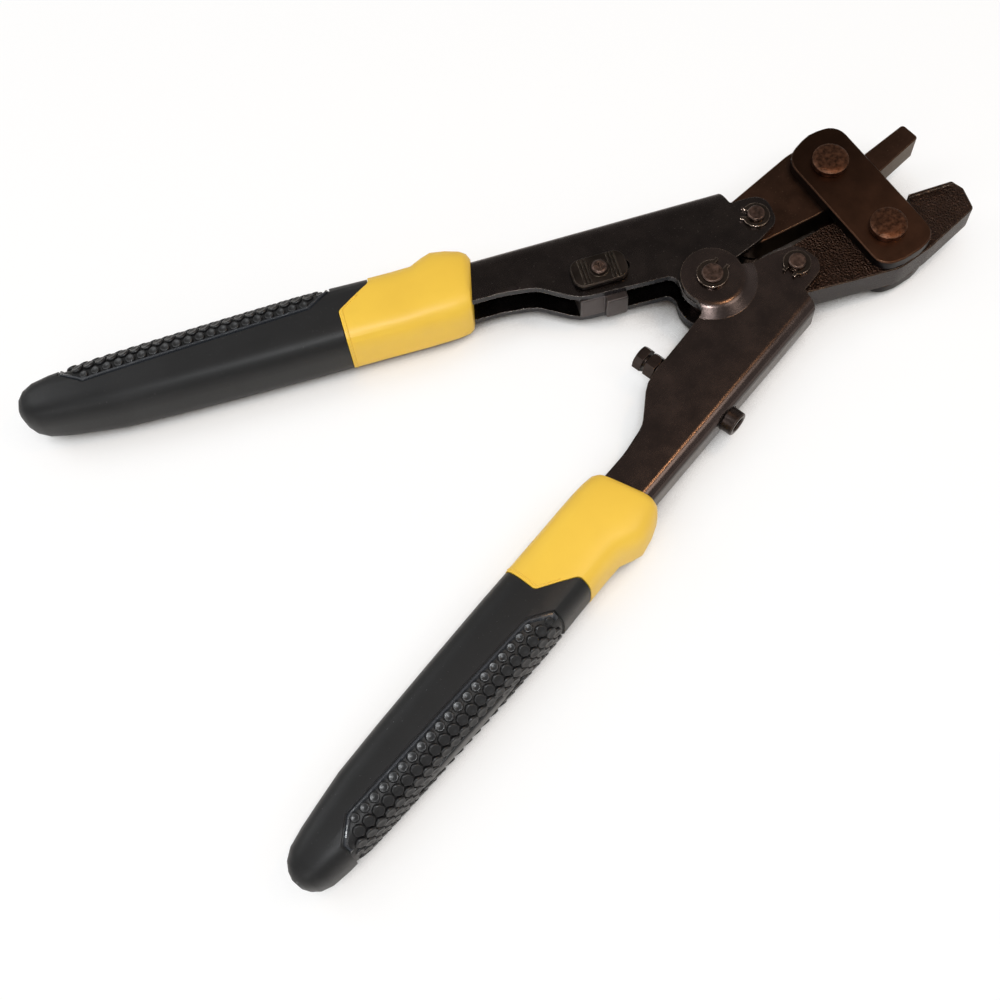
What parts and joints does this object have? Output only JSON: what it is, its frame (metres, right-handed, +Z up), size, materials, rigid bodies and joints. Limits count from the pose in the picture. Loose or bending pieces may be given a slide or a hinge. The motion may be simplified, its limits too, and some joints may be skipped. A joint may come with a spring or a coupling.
{
  "type": "crimp ring removal tool",
  "caption": "Two-handed compound-leverage pliers with a linked pair of jaws for removing crimp rings, with a stepped depth selector and an adjustable stop.",
  "frame": {"origin": "middle of the bounding box in plan, at the lowest face, where the tool lies on a table", "axes": "+X from the grips towards the jaws, +Y towards the left handle, +Z up through the thickness; the mid-plane between the handles is the XZ plane"},
  "size_m": [0.396, 0.2502, 0.0322],
  "materials": {
    "black_sheet_steel": "dark oxide finish, slightly glossy, with a brownish sheen",
    "jaw_steel": "dark heat-treated steel",
    "forged_steel": "dark, rough, grained face",
    "link_steel": "dark brown oxide finish",
    "pin_steel": "bare to brown steel, turned faces",
    "clip_steel": "black spring steel",
    "bolt_steel": "black oxide",
    "button_metal": "dark matt",
    "yellow_plastic": "warm yellow, satin",
    "black_rubber": "black, soft, matt"
  },
  "bodies": {
    "right_handle": {"right_handle_channel": "black_sheet_steel", "right_collar": "yellow_plastic", "right_grip": "black_rubber", "pivot_pin": "pin_steel", "pivot_clip_top": "clip_steel", "pivot_clip_bottom": "clip_steel", "pivot_spacer": "pin_steel", "right_jaw_pin": "pin_steel", "right_jaw_clip_top": "clip_steel", "right_jaw_clip_bottom": "clip_steel", "adjuster_sleeve": "bolt_steel"},
    "left_handle": {"left_handle_channel": "black_sheet_steel", "left_collar": "yellow_plastic", "left_grip": "black_rubber", "left_jaw_pin": "pin_steel", "left_jaw_clip_top": "clip_steel", "left_jaw_clip_bottom": "clip_steel"},
    "lower_jaw": {"lower_jaw": "forged_steel"},
    "upper_jaw": {"upper_jaw": "jaw_steel"},
    "link": {"link_plate_top": "link_steel", "link_plate_bottom": "link_steel", "upper_jaw_rivet": "pin_steel", "lower_jaw_rivet": "pin_steel"},
    "selector": {"selector_button": "button_metal", "selector_screw": "pin_steel", "selector_block": "bolt_steel"},
    "stop_bolt": {"stop_bolt": "bolt_steel"},
    "jam_nut": {"jam_nut": "bolt_steel"}
  },
  "joints": [
    {"name": "handle_pivot", "type": "hinge", "parent": "right_handle", "child": "left_handle", "pos_m": [0.07895, 0, 0.0161], "axis": [0, 0, 1], "range_deg": [0, 32.5]},
    {"name": "lower_jaw_pivot", "type": "hinge", "parent": "right_handle", "child": "lower_jaw", "pos_m": [0.11305, -0.01449, 0.0161], "axis": [0, 0, 1], "range_deg": [0, 28.6]},
    {"name": "link_pivot", "type": "hinge", "parent": "lower_jaw", "child": "link", "pos_m": [0.1548, -0.02285, 0.0161], "axis": [0, 0, 1], "range_deg": [-10.5, 0]},
    {"name": "upper_jaw_pivot", "type": "hinge", "parent": "link", "child": "upper_jaw", "pos_m": [0.15479, 0.01708, 0.0161], "axis": [0, 0, 1], "range_deg": [-15, 0]},
    {"name": "selector_slide", "type": "slide", "parent": "left_handle", "child": "selector", "axis": [0.9566, -0.2914, 0], "range_m": [0, 0.0105]},
    {"name": "stop_bolt_slide", "type": "slide", "parent": "right_handle", "child": "stop_bolt", "axis": [0.2914, -0.9566, 0], "range_m": [0, 0.0011]},
    {"name": "jam_nut_spin", "type": "hinge", "parent": "right_handle", "child": "jam_nut", "pos_m": [0.03705, -0.01276, 0.0161], "axis": [0.2914, -0.9566, 0], "continuous": true}
  ],
  "couplings": [
    {"joint": "lower_jaw_pivot", "follows": "handle_pivot", "ratio": 0.8715},
    {"joint": "link_pivot", "follows": "handle_pivot", "ratio": -0.3152},
    {"joint": "upper_jaw_pivot", "follows": "handle_pivot", "ratio": -0.4538}
  ]
}
